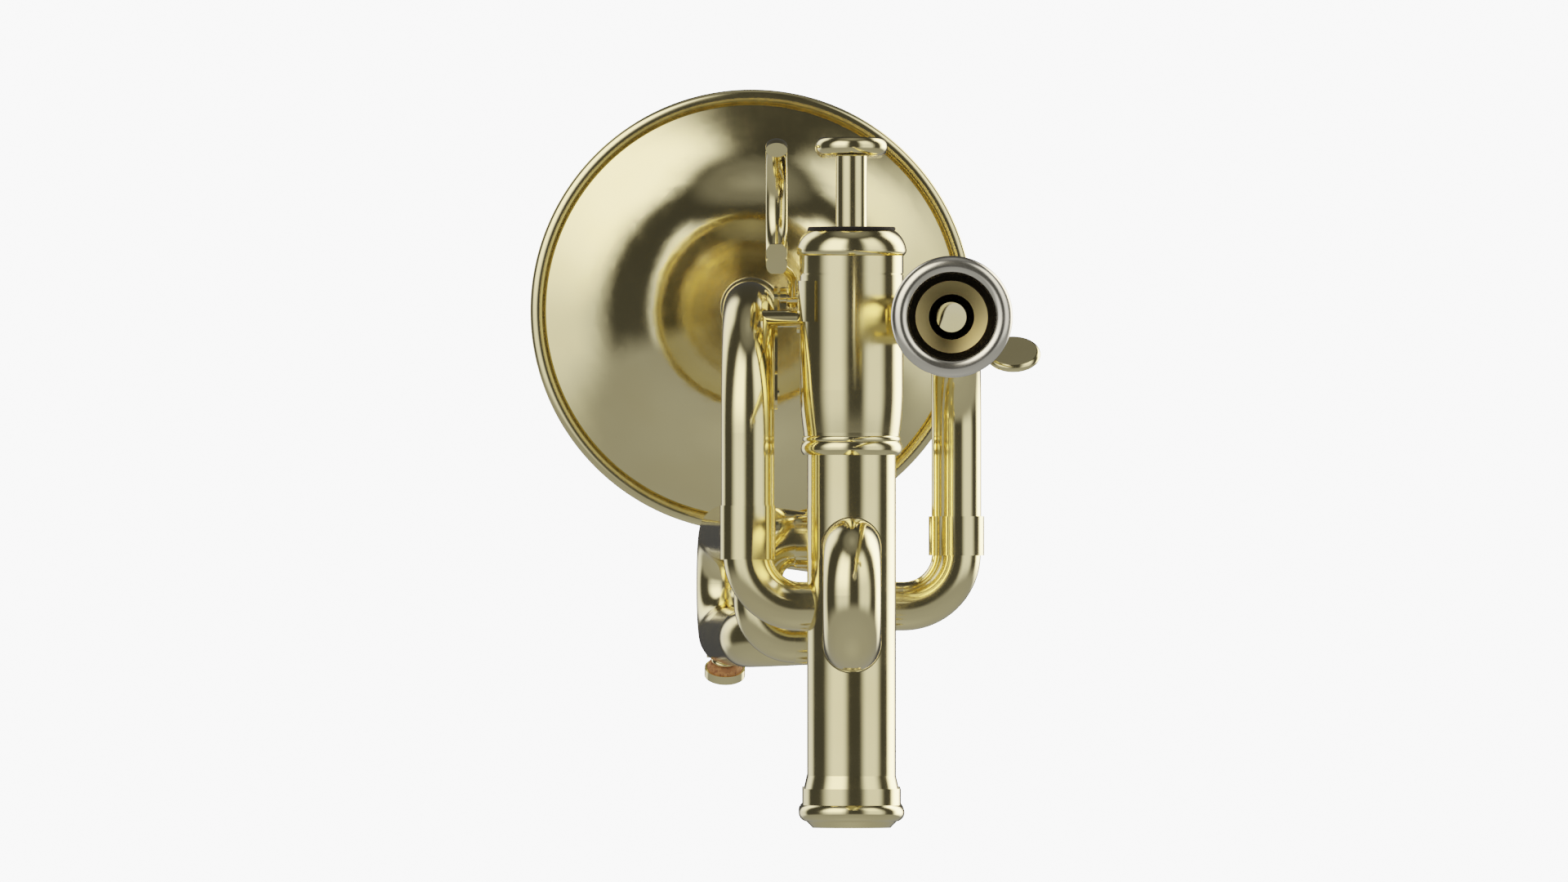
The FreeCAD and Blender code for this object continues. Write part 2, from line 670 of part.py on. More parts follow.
def trigger_saddle():
    """Plate, bridge and the two ears that carry the trigger's pin."""
    bridge = Part.Face(Part.makePolygon([
        V(-7.9, -18.6, 112.9), V(-10.8, -16.6, 112.9), V(-11.2, -14, 112.9), V(-15.9, -14, 112.9),
        V(-15.9, -10.2, 112.9), V(-10.6, -10.2, 112.9), V(-7.3, -16.4, 112.9), V(-7.9, -18.6, 112.9),
    ])).extrude(UP * 2.7)
    saddle = saddle_plate().fuse(bridge)
    for low_x, high_x in ((-15.9, -14.5), (-11.9, -10.8)):
        saddle = saddle.fuse(block(V(low_x, -13.2, 114), V(high_x, -10.8, TRIGGER_Z)))
        saddle = saddle.fuse(rod(pin_point(low_x), pin_point(high_x), 2.0))
    saddle = saddle.cut(rod(pin_point(-18), pin_point(-10), TRIGGER_PIN_R + RUNNING))
    return saddle.cut(casing_core(VALVE_Y[1])).removeSplitter()


def trigger_pin():
    return rod(pin_point(PIN_X[0]), pin_point(PIN_X[1]), TRIGGER_PIN_R)


def trigger_hook():
    """Finger hook open to the player, its foot, and the arm that reaches the pin."""
    oval = Part.Ellipse(V(0, 0, 0), HOOK_W / 2, HOOK_T / 2).toShape()
    oval.translate(V(0, HOOK_R, 0))
    oval.rotate(V(0, 0, 0), RIGHT, HOOK_TIP)
    section = Part.Face(Part.Wire(oval))
    hook = section.revolve(V(0, 0, 0), RIGHT, -HOOK_TIP - HOOK_END)
    hook.translate(V(HOOK_X, HOOK_Y, HOOK_Z))
    hub = rod(pin_point(-14.3), pin_point(-12.1), 2.3)
    lever = hook.fuse(hook_foot()).fuse(trigger_arm()).fuse(hub)
    return lever.cut(rod(pin_point(-18), pin_point(-10), TRIGGER_PIN_R))


def hook_foot():
    """End block of the hook, waisted, with a flat face towards the player that looks a little down."""
    half = 2.35
    rear = -26.0
    front = -16.0
    foot = None
    for z in (125.35, 128.0):
        lobe = rod(V(HOOK_X, rear, z), V(HOOK_X, front, z), half)
        lobe = lobe.common(block(V(HOOK_X - half, rear, z - 1.95), V(HOOK_X + half, front, z + 2.1)))
        foot = lobe if foot is None else foot.fuse(lobe)
    bevel = block(V(-5, -10, -10), V(5, 0, 10))
    bevel.rotate(V(0, 0, 0), RIGHT, FOOT_FACE_TILT)
    bevel.translate(V(HOOK_X, rear + 1, 126.7))
    return foot.cut(bevel)


def trigger_arm():
    """Curved strap from the foot down to the pin."""
    path = route([
        V(-15.6, -17.5, 125.0), V(-13.2, -16.0, 123.0), V(-13.2, TRIGGER_Y, 116.5),
    ], [2.5])
    edge = path.Edges[0]
    start = edge.valueAt(edge.FirstParameter)
    heading = edge.tangentAt(edge.FirstParameter)
    return path.makePipeShell([Part.Wire(Part.makeCircle(1.1, start, heading))], True, False)


def trigger_crank():
    """Lower arm of the trigger, with the slot that drives the rod."""
    face = 0.8
    near = 20.0
    far = 24.1
    slot_half = 1.1
    arm = rod(V(0, 0, 0), V(face, 0, 0), 2.1)
    arm = arm.fuse(block(V(0, -1.7, -far), V(face, 1.7, 0)))
    arm = arm.fuse(block(V(0, -2.5, -far), V(face, 2.5, -near)))
    arm = arm.fuse(rod(V(0, 0, -far), V(face, 0, -far), 2.5))
    arm = arm.fuse(rod(V(0, 0, -near), V(face, 0, -near), 2.5))
    slot = block(V(-1, -slot_half, -far), V(2, slot_half, -near))
    slot = slot.fuse(rod(V(-1, 0, -far), V(2, 0, -far), slot_half))
    slot = slot.fuse(rod(V(-1, 0, -near), V(2, 0, -near), slot_half))
    arm = arm.cut(slot)
    arm.rotate(V(0, 0, 0), RIGHT, -math.degrees(TRIGGER_SWING))
    arm.translate(V(PIN_X[0], TRIGGER_Y, TRIGGER_Z))
    return arm.cut(trigger_pin()).removeSplitter()


def rod_start():
    """Rear end of the trigger's rod, in the crank's slot at rest."""
    return V(-18.9, TRIGGER_Y - CRANK_DROP * math.tan(TRIGGER_SWING), TRIGGER_Z - CRANK_DROP)


def trigger_rod():
    """Rod from the crank to the third slide's bow, with its cross pin and its post."""
    start = rod_start()
    foot = slide3_point(SLIDE3_SLEEVE + 14, SLIDE3_Z[1])
    end = foot + UP * 11.0
    link = rod(start, end, 1.0)
    link = link.fuse(Part.makeSphere(1.25, start)).fuse(Part.makeSphere(1.25, end))
    link = link.fuse(rod(start, V(-16.1, start.y, start.z), 0.8))
    post = rod(foot + UP * 5, end, 1.2)
    leg = rod(slide3_point(SLIDE3_SLEEVE, SLIDE3_Z[1]), slide3_point(SLIDE3_BOW, SLIDE3_Z[1]), 6.42)
    return link.fuse(post.cut(leg)).removeSplitter()


# ---- water key ----------------------------------------------------------------------------------

def bow_point(out, forward=0.0, side=0.0):
    """A point near the water key: out from the bow's tube, forward along it, and sideways."""
    middle = slide3_point(SLIDE3_BOW, (SLIDE3_Z[0] + SLIDE3_Z[1]) / 2)
    radius = (SLIDE3_Z[1] - SLIDE3_Z[0]) / 2 + 6.42
    return middle + key_out() * (radius + out) + key_ahead() * forward + ACROSS * side


def key_out():
    return OUTWARD * math.sin(KEY_ANGLE) - UP * math.cos(KEY_ANGLE)


def key_ahead():
    return OUTWARD * math.cos(KEY_ANGLE) + UP * math.sin(KEY_ANGLE)


def key_bore():
    """Drain hole through the bow's wall."""
    return rod(bow_point(-4), bow_point(2), 1.5)


def water_key_nipple():
    """Short pipe that the cork closes."""
    middle = slide3_point(SLIDE3_BOW, (SLIDE3_Z[0] + SLIDE3_Z[1]) / 2)
    radius = (SLIDE3_Z[1] - SLIDE3_Z[0]) / 2
    bow = Part.makeTorus(radius, 6.42, middle, ACROSS)
    return ring(bow_point(-2), bow_point(KEY_CORK_FACE - 0.02), 3.1, 1.5).cut(bow)


def water_key_cork():
    return rod(bow_point(KEY_CORK_FACE), bow_point(KEY_CORK_BACK), KEY_CORK_R)


HINGE_AHEAD = 10.0
HINGE_OUT = 4.6


def water_key_lever():
    """Cup for the cork, bar, hinge barrel and finger plate."""
    cup = rod(bow_point(KEY_CORK_FACE), bow_point(5.6), KEY_CUP_R)
    bar = rod(bow_point(5.2, 2), bow_point(HINGE_OUT, HINGE_AHEAD), 1.1)
    barrel = rod(bow_point(HINGE_OUT, HINGE_AHEAD, -2.3), bow_point(HINGE_OUT, HINGE_AHEAD, 2.3), 1.5)
    tail = rod(bow_point(HINGE_OUT, HINGE_AHEAD), bow_point(4.2, 19), 1.1)
    plate = rod(bow_point(3.6, 21.5), bow_point(4.9, 21.5), 4.0)
    lever = cup.fuse(bar).fuse(barrel).fuse(tail).fuse(plate)
    lever = lever.cut(rod(bow_point(0), bow_point(KEY_CORK_BACK), KEY_CORK_R))
    pin = rod(bow_point(HINGE_OUT, HINGE_AHEAD, -5), bow_point(HINGE_OUT, HINGE_AHEAD, 5), 0.7 + RUNNING)
    return lever.cut(pin).removeSplitter()


def water_key_saddle():
    """Two ears on the bow that hold the water key's pin."""
    saddle = None
    middle = slide3_point(SLIDE3_BOW, (SLIDE3_Z[0] + SLIDE3_Z[1]) / 2)
    bow = Part.makeTorus((SLIDE3_Z[1] - SLIDE3_Z[0]) / 2, 6.42, middle, ACROSS)
    for side in (-3.6, 2.5):
        hinge = bow_point(HINGE_OUT, HINGE_AHEAD, side)
        ear = rod(hinge, hinge + ACROSS * 1.1, 1.8)
        post = rod(bow_point(-4, 9, side + 0.55), bow_point(HINGE_OUT, HINGE_AHEAD, side + 0.55), 0.55)
        ear = ear.fuse(post).cut(bow)
        saddle = ear if saddle is None else saddle.fuse(ear)
    pin = rod(bow_point(HINGE_OUT, HINGE_AHEAD, -5), bow_point(HINGE_OUT, HINGE_AHEAD, 5), 0.7)
    return saddle.cut(pin)


def water_key_pin():
    return rod(bow_point(HINGE_OUT, HINGE_AHEAD, -3.6), bow_point(HINGE_OUT, HINGE_AHEAD, 3.6), 0.7)


def water_key_spring():
    """Coils of the return spring around the hinge barrel."""
    coils = [Part.makeTorus(1.85, 0.25, bow_point(HINGE_OUT, HINGE_AHEAD, side), ACROSS)
             for side in (-2.0, -1.45, 1.45, 2.0)]
    return Part.makeCompound(coils)


def build_valves():
    for number, y in VALVE_Y.items():
        tag = str(number)
        save("valve_casing_" + tag, valve_casing(number))
        save("bottom_cap_" + tag, bottom_cap(y))
        save("top_cap_" + tag, top_cap(y))
        save("piston_" + tag, piston(y))
        save("valve_stem_" + tag, valve_stem(y))
        save("button_" + tag, button(y))
        save("valve_spring_" + tag, valve_spring(y))
    every = list(VALVE_Y.values())
    save("cap_felts", Part.makeCompound([cap_felt(y) for y in every]))
    save("valve_guides", Part.makeCompound([valve_guide(y) for y in every]))
    save("valve_knuckles", Part.makeCompound([knuckle(1), knuckle(2)]))


def build_leadpipe_side():
    save("mouthpiece", mouthpiece())
    save("tuning_shank", tuning_shank())
    save("tuning_sleeve", tuning_sleeve())
    save("clamp_collar", clamp_collar())
    save("clamp_screw", clamp_screw())
    save("leadpipe", leadpipe())
    save("leadpipe_ferrule", leadpipe_ferrule())
    save("leadpipe_elbow", leadpipe_elbow())
    save("leadpipe_braces", Part.makeCompound([leadpipe_brace(VALVE_Y[1]), leadpipe_brace(VALVE_Y[2])]))


def build_bell_side():
    save("bell_elbow", bell_elbow())
    save("bell_tail_ferrule", bell_tail_ferrule())
    save("bell_tail", bell_tail())
    save("bell_garland", bell_garland())
    save("bell", bell())
    save("bell_rim_bead", rim_bead())
    save("bell_rim_wire", wire_ring(RIM_WIRE_R))
    save("bell_brace_rear", bell_brace_rear())
    save("bell_brace_front", bell_brace_front())


def build_slides():
    save("first_slide_sleeves", first_slide_sleeves())
    save("first_slide", first_slide())
    save("second_slide_sleeves", second_slide_sleeves())
    save("second_slide", second_slide())
    save("third_slide_legs", third_slide_legs())
    save("third_slide", third_slide())


def build_trigger():
    save("trigger_saddle", trigger_saddle())
    save("trigger_pin", trigger_pin())
    save("trigger_hook", trigger_hook())
    save("trigger_crank", trigger_crank())
    save("trigger_rod", trigger_rod())


def build_water_key():
    save("water_key_nipple", water_key_nipple())
    save("water_key_cork", water_key_cork())
    save("water_key_lever", water_key_lever())
    save("water_key_saddle", water_key_saddle())
    save("water_key_pin", water_key_pin())
    save("water_key_spring", water_key_spring())


os.makedirs("parts", exist_ok=True)
build_valves()
build_leadpipe_side()
build_bell_side()
build_slides()
build_trigger()
build_water_key()
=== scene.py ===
import json
import math

import bmesh
import bpy
from mathutils import Matrix, Vector


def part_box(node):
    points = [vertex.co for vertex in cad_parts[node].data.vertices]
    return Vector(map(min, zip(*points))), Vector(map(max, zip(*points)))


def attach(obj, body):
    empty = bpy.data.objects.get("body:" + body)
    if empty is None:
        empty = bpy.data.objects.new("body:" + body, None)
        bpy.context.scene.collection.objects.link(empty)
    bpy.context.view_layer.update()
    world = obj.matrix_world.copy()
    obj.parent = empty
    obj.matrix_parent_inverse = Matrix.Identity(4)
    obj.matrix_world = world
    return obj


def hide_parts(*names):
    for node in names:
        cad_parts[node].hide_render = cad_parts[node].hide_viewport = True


# Flugelhorn, in metres, in the part's own frame: +X the player's right, +Y forward to the bell,
# +Z up along the valves.  Shapes below are given in millimetres and scaled by MM.

MM = 0.001
VALVE_Y = {1: -27.0, 2: 0.0, 3: 27.0}
PIPE_AXIS = (21.5, 113.2)                # x and z of the mouthpiece's axis
THIRD_SLIDE_TURN = math.radians(3.37)    # the third slide leans to the left as it runs forward
KEY_ANGLE = math.radians(29)             # the water key's cup, from straight below the crook
BELL_AXIS = (-22.5, 116.05)              # x and z of the bell's axis
BELL_RIM_Y = 213.0
LATHE_STEPS = 128                        # sides of a turned piece
RIM_STEPS = 384                          # sides of the bell's rim, which is far wider
ROLL_STEPS = 64                          # steps round the rim's section
ARC_STEPS = 8                            # steps along an arc of an outline
SHARP_ANGLE = 35.0                       # degrees between faces, above which an edge stays sharp
FLOOR_RADIUS = 900
FLOOR_HEIGHT = -32
BORE_LIGHT_PLACE = (22.6, 21.3, 106.0)   # low in the leadpipe's bend
BRIGHTEST_PANEL = 8.0

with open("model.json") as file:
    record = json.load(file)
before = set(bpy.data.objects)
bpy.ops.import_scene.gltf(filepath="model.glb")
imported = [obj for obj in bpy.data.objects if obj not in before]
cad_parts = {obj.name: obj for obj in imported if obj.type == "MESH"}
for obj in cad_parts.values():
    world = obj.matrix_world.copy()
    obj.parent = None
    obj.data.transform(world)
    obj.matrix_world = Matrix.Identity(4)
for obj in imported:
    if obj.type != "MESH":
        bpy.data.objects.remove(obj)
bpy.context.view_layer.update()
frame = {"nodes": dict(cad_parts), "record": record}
nodes = frame["nodes"]
slot_of = {row["node"]: row["material_slot"] for row in frame["record"]["subparts"]}


# ---- material helpers -----------------------------------------------------------------------------

class Tree:
    """A material's or world's node tree, with short calls for the nodes used here."""

    def __init__(self, owner):
        owner.use_nodes = True
        self.tree = owner.node_tree
        self.tree.nodes.clear()

    def new(self, kind, **values):
        node = self.tree.nodes.new(kind)
        for name, value in values.items():
            setattr(node, name, value)
        return node

    def link(self, source, target):
        self.tree.links.new(source, target)

    def math(self, operation, first, second=None):
        node = self.new("ShaderNodeMath", operation=operation)
        for socket, value in zip(node.inputs, (first, second)):
            if isinstance(value, (int, float)):
                socket.default_value = value
            elif value is not None:
                self.link(value, socket)
        return node.outputs[0]

    def step(self, value, start, end, low=0.0, high=1.0):
        """Rises smoothly from low to high as value goes from start to end."""
        node = self.new("ShaderNodeMapRange", interpolation_type="SMOOTHSTEP")
        for name, number in (("From Min", start), ("From Max", end), ("To Min", low), ("To Max", high)):
            node.inputs[name].default_value = number
        self.link(value, node.inputs["Value"])
        return node.outputs["Result"]

    def ramp(self, value, stops):
        """Colour ramp; stops are (position, colour)."""
        node = self.new("ShaderNodeValToRGB")
        node.color_ramp.interpolation = "EASE"
        elements = node.color_ramp.elements
        elements.remove(elements[1])
        for index, (position, colour) in enumerate(stops):
            element = elements[0] if index == 0 else elements.new(position)
            element.position = position
            element.color = (*colour, 1)
        self.link(value, node.inputs["Fac"])
        return node.outputs["Color"]

    def coordinates(self, scale=(1, 1, 1)):
        """Object coordinates, stretched by scale."""
        place = self.new("ShaderNodeTexCoord")
        mapping = self.new("ShaderNodeMapping")
        mapping.inputs["Scale"].default_value = scale
        self.link(place.outputs["Object"], mapping.inputs["Vector"])
        return mapping.outputs["Vector"]

    def noise(self, scale, stretch=(1, 1, 1), detail=3.0, roughness=0.5):
        node = self.new("ShaderNodeTexNoise")
        node.inputs["Scale"].default_value = scale
        node.inputs["Detail"].default_value = detail
        node.inputs["Roughness"].default_value = roughness
        self.link(self.coordinates(stretch), node.inputs["Vector"])
        return node.outputs["Fac"]

    def cells(self, scale, output="Distance"):
        node = self.new("ShaderNodeTexVoronoi")
        node.inputs["Scale"].default_value = scale
        self.link(self.coordinates(), node.inputs["Vector"])
        return node.outputs[output]

    def bump(self, height, strength, depth, below=None):
        node = self.new("ShaderNodeBump")
        node.inputs["Strength"].default_value = strength
        node.inputs["Distance"].default_value = depth
        self.link(height, node.inputs["Height"])
        if below is not None:
            self.link(below, node.inputs["Normal"])
        return node.outputs["Normal"]

    def mix(self, factor, first, second):
        """Blend of two colours."""
        node = self.new("ShaderNodeMix", data_type="RGBA")
        self.link(factor, node.inputs["Factor"])
        for name, value in (("A", first), ("B", second)):
            if isinstance(value, tuple):
                node.inputs[name].default_value = (*value, 1)
            else:
                self.link(value, node.inputs[name])
        return node.outputs["Result"]


def surface(name, **values):
    """A new material with a Principled shader: (material, tree, shader)."""
    material = bpy.data.materials.new(name)
    tree = Tree(material)
    output = tree.new("ShaderNodeOutputMaterial")
    shader = tree.new("ShaderNodeBsdfPrincipled")
    tree.link(shader.outputs["BSDF"], output.inputs["Surface"])
    for socket, value in values.items():
        shader.inputs[socket.replace("_", " ")].default_value = value
    return material, tree, shader


def polished_metal(name, colour, shade, smooth, worn, **values):
    """Buffed metal: slight tone drift, handling haze in the gloss, and hair-fine polishing marks."""
    material, tree, shader = surface(name, Metallic=1.0, **values)
    drift = tree.noise(55, detail=2)
    tree.link(tree.mix(tree.step(drift, 0.35, 0.7), colour, shade), shader.inputs["Base Color"])
    haze = tree.noise(120, detail=4, roughness=0.6)
    marks = tree.noise(900, stretch=(1, 1, 0.12), detail=2)
    gloss = tree.math("ADD", tree.step(haze, 0.35, 0.75, smooth, worn), tree.step(marks, 0.5, 0.8, 0, 0.02))
    tree.link(gloss, shader.inputs["Roughness"])
    tree.link(tree.bump(marks, 0.03, 0.00002), shader.inputs["Normal"])
    return material


def lacquered_brass():
    return polished_metal(
        "lacquered_brass", (0.86, 0.745, 0.39), (0.83, 0.71, 0.36), 0.10, 0.15,
        Coat_Weight=0.15, Coat_Roughness=0.04)


def washed_gold():
    """Satin gold wash on the cone at the bottom of the mouthpiece's cup."""
    return polished_metal("washed_gold", (0.88, 0.71, 0.33), (0.82, 0.66, 0.29), 0.42, 0.50)


def painted_dark_reflection():
    """Painted dark reflection on the steep walls of the cup and on the throat: near-black colour in place of
    the dark rings that these walls reflect.
    """
    material, tree, shader = surface("painted_dark_reflection", Specular_IOR_Level=0.05)
    # mottled near-black, all of it painted dark reflection
    dark_mottle = tree.noise(600, detail=3)
    tree.link(tree.mix(dark_mottle, (0.003, 0.002, 0.001), (0.009, 0.007, 0.004)), shader.inputs["Base Color"])
    tree.link(tree.step(dark_mottle, 0.3, 0.7, 0.55, 0.7), shader.inputs["Roughness"])
    return material


def silver_plate():
    return polished_metal("silver_plate", (0.83, 0.79, 0.67), (0.78, 0.745, 0.62), 0.18, 0.25)


def lapped_monel():
    """Piston metal, lapped round its axis, with faint rings."""
    material, tree, shader = surface("piston_monel", Metallic=1.0)
    rings = tree.noise(2500, stretch=(0.02, 0.02, 1), detail=2)
    tree.link(tree.mix(rings, (0.56, 0.54, 0.50), (0.66, 0.64, 0.60)), shader.inputs["Base Color"])
    tree.link(tree.step(rings, 0.3, 0.7, 0.22, 0.34), shader.inputs["Roughness"])
    tree.link(tree.bump(rings, 0.15, 0.00003), shader.inputs["Normal"])
    return material


def spring_steel():
    """Drawn wire with blued patches."""
    material, tree, shader = surface("spring_steel", Metallic=1.0)
    patches = tree.noise(400, detail=3)
    tree.link(tree.mix(patches, (0.50, 0.50, 0.52), (0.62, 0.61, 0.60)), shader.inputs["Base Color"])
    tree.link(tree.step(patches, 0.3, 0.7, 0.22, 0.36), shader.inputs["Roughness"])
    return material


def black_felt():
    """Pressed wool: matted fibres that catch a little light."""
    material, tree, shader = surface(
        "felt", Roughness=0.95, Specular_IOR_Level=0.2, Sheen_Weight=0.06, Sheen_Roughness=0.6)
    fibres = tree.noise(2600, stretch=(1, 1, 2.5), detail=5, roughness=0.7)
    clumps = tree.noise(700, detail=3)
    tone = tree.mix(fibres, (0.003, 0.003, 0.003), (0.014, 0.012, 0.012))
    tree.link(tone, shader.inputs["Base Color"])
    tree.link(tree.bump(fibres, 0.7, 0.0001, tree.bump(clumps, 0.4, 0.0002)), shader.inputs["Normal"])
    return material


def cork():
    """Pressed cork: packed granules, dark pores, dry and uneven."""
    material, tree, shader = surface("cork", Roughness=0.85)
    granules = tree.cells(1100, output="Color")
    grey = tree.new("ShaderNodeRGBToBW")
    tree.link(granules, grey.inputs[0])
    body = tree.ramp(grey.outputs[0], [
        (0.0, (0.17, 0.065, 0.028)), (0.4, (0.28, 0.12, 0.048)), (0.75, (0.36, 0.165, 0.068)),
        (1.0, (0.45, 0.23, 0.105)),
    ])
    pores = tree.noise(2400, detail=4, roughness=0.65)
    tone = tree.mix(tree.step(pores, 0.56, 0.66), body, (0.07, 0.028, 0.014))
    tree.link(tone, shader.inputs["Base Color"])
    seams = tree.bump(tree.cells(1100), 0.5, 0.00008)
    tree.link(tree.bump(pores, 0.5, 0.0001, seams), shader.inputs["Normal"])
    return material


def mother_of_pearl():
    """Nacre: wavy growth lines with soft pink, green and cream bands under a clear polish."""
    material, tree, shader = surface(
        "mother_of_pearl", Roughness=0.22, Coat_Weight=0.6, Coat_Roughness=0.05,
        Specular_IOR_Level=0.6)
    waves = tree.new("ShaderNodeTexWave", wave_type="BANDS", bands_direction="DIAGONAL")
    for name, value in (("Scale", 170), ("Distortion", 9), ("Detail", 3), ("Detail Scale", 1.2)):
        waves.inputs[name].default_value = value
    tree.link(tree.coordinates(), waves.inputs["Vector"])
    bands = tree.ramp(waves.outputs["Fac"], [
        (0.0, (0.80, 0.79, 0.74)), (0.3, (0.78, 0.84, 0.78)), (0.55, (0.87, 0.79, 0.79)),
        (0.8, (0.76, 0.80, 0.86)), (1.0, (0.88, 0.87, 0.82)),
    ])
    cloud = tree.noise(260, detail=3)
    tree.link(tree.mix(tree.step(cloud, 0.4, 0.7), bands, (0.86, 0.85, 0.80)), shader.inputs["Base Color"])
    tree.link(tree.bump(waves.outputs["Fac"], 0.08, 0.00003), shader.inputs["Normal"])
    return material


def guide_plastic():
    """Off-white moulded nylon, a little translucent and finely pitted."""
    material, tree, shader = surface("guide_plastic", Subsurface_Weight=0.1, Subsurface_Scale=0.001)
    grain = tree.noise(1500, detail=4)
    tree.link(tree.mix(grain, (0.78, 0.77, 0.72), (0.86, 0.85, 0.81)), shader.inputs["Base Color"])
    tree.link(tree.step(grain, 0.3, 0.7, 0.38, 0.52), shader.inputs["Roughness"])
    tree.link(tree.bump(grain, 0.2, 0.00003), shader.inputs["Normal"])
    return material


# ---- mesh helpers ---------------------------------------------------------------------------------

def finish_mesh(name, grid, materials, sharp=SHARP_ANGLE):
    """Turn a bmesh in millimetres into a smooth-shaded object in metres, with its sharp edges marked."""
    bmesh.ops.scale(grid, vec=(MM, MM, MM), verts=grid.verts)
    bmesh.ops.recalc_face_normals(grid, faces=grid.faces)
    for face in grid.faces:
        face.smooth = True
    for edge in grid.edges:
        if len(edge.link_faces) == 2 and edge.calc_face_angle(0) > math.radians(sharp):
            edge.smooth = False
    mesh = bpy.data.meshes.new(name)
    grid.to_mesh(mesh)
    grid.free()
    for material in materials:
        mesh.materials.append(material)
    piece = bpy.data.objects.new(name, mesh)
    bpy.context.scene.collection.objects.link(piece)
    return piece


def arc_points(start, middle, end):
    """Points after start along the arc through middle to end, in a plane."""
    (ax, ay), (bx, by), (cx, cy) = start, middle, end
    d = 2 * (ax * (by - cy) + bx * (cy - ay) + cx * (ay - by))
    a2, b2, c2 = ax * ax + ay * ay, bx * bx + by * by, cx * cx + cy * cy
    ox = (a2 * (by - cy) + b2 * (cy - ay) + c2 * (ay - by)) / d
    oy = (a2 * (cx - bx) + b2 * (ax - cx) + c2 * (bx - ax)) / d
    radius = math.hypot(ax - ox, ay - oy)
    first = math.atan2(ay - oy, ax - ox)
    via = (math.atan2(by - oy, bx - ox) - first) % (2 * math.pi)
    sweep = (math.atan2(cy - oy, cx - ox) - first) % (2 * math.pi)
    if via > sweep:
        sweep -= 2 * math.pi
    angles = [first + sweep * i / ARC_STEPS for i in range(1, ARC_STEPS + 1)]
    return [(ox + radius * math.cos(a), oy + radius * math.sin(a)) for a in angles]


def profile(items):
    """Points of a turned piece's outline; ("arc", middle, end) stands for a round stretch."""
    points = [items[0]]
    for item in items[1:]:
        if item[0] == "arc":
            points += arc_points(points[-1], item[1], item[2])
        else:
            points.append(item)
    return points


def lathe(points, steps=LATHE_STEPS):
    """A closed outline of (radius, height) turned about Z, as a bmesh."""
    grid = bmesh.new()
    rings = []
    for radius, height in points:
        if radius < 1e-6:
            rings.append([grid.verts.new((0, 0, height))])
            continue
        angles = [2 * math.pi * i / steps for i in range(steps)]
        rings.append([grid.verts.new((radius * math.cos(a), radius * math.sin(a), height)) for a in angles])
    for low, high in zip(rings, rings[1:] + rings[:1]):
        if len(low) == 1 and len(high) == 1:
            continue
        for i in range(steps):
            j = (i + 1) % steps
            corners = [low[i % len(low)], low[j % len(low)], high[j % len(high)], high[i % len(high)]]
            grid.faces.new(list(dict.fromkeys(corners)))
    return grid


def lay_along_y(grid, axis):
    """Turn a piece made along Z to lie along +Y, on an axis given by its x and z."""
    turn = Matrix.Rotation(math.radians(-90), 4, "X")
    place = Matrix.Translation((axis[0], 0, axis[1]))
    bmesh.ops.transform(grid, matrix=place @ turn, verts=grid.verts)


def add_piece(name, grid, materials, body, slot, *replaced, sharp=SHARP_ANGLE):
    """Finish a mesh, attach it to the body it rides on, and hide the CAD nodes it replaces."""
    piece = finish_mesh(name, grid, materials, sharp)
    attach(piece, body)
    if replaced:
        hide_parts(*replaced)


# ---- studio ---------------------------------------------------------------------------------------

def soft_box(tree, azimuth, elevation, level, across, upward):
    """One light panel of the studio: its brightness in every direction, with soft edges.
    across and upward are (start, full, full, end) in degrees of azimuth and elevation."""
    left_edge = tree.step(azimuth, across[0], across[1])
    right_edge = tree.step(azimuth, across[3], across[2])
    value = tree.math("MULTIPLY", left_edge, right_edge)
    value = tree.math("MULTIPLY", value, tree.step(elevation, upward[0], upward[1]))
    value = tree.math("MULTIPLY", value, tree.step(elevation, upward[3], upward[2]))
    return tree.math("MULTIPLY", value, level)


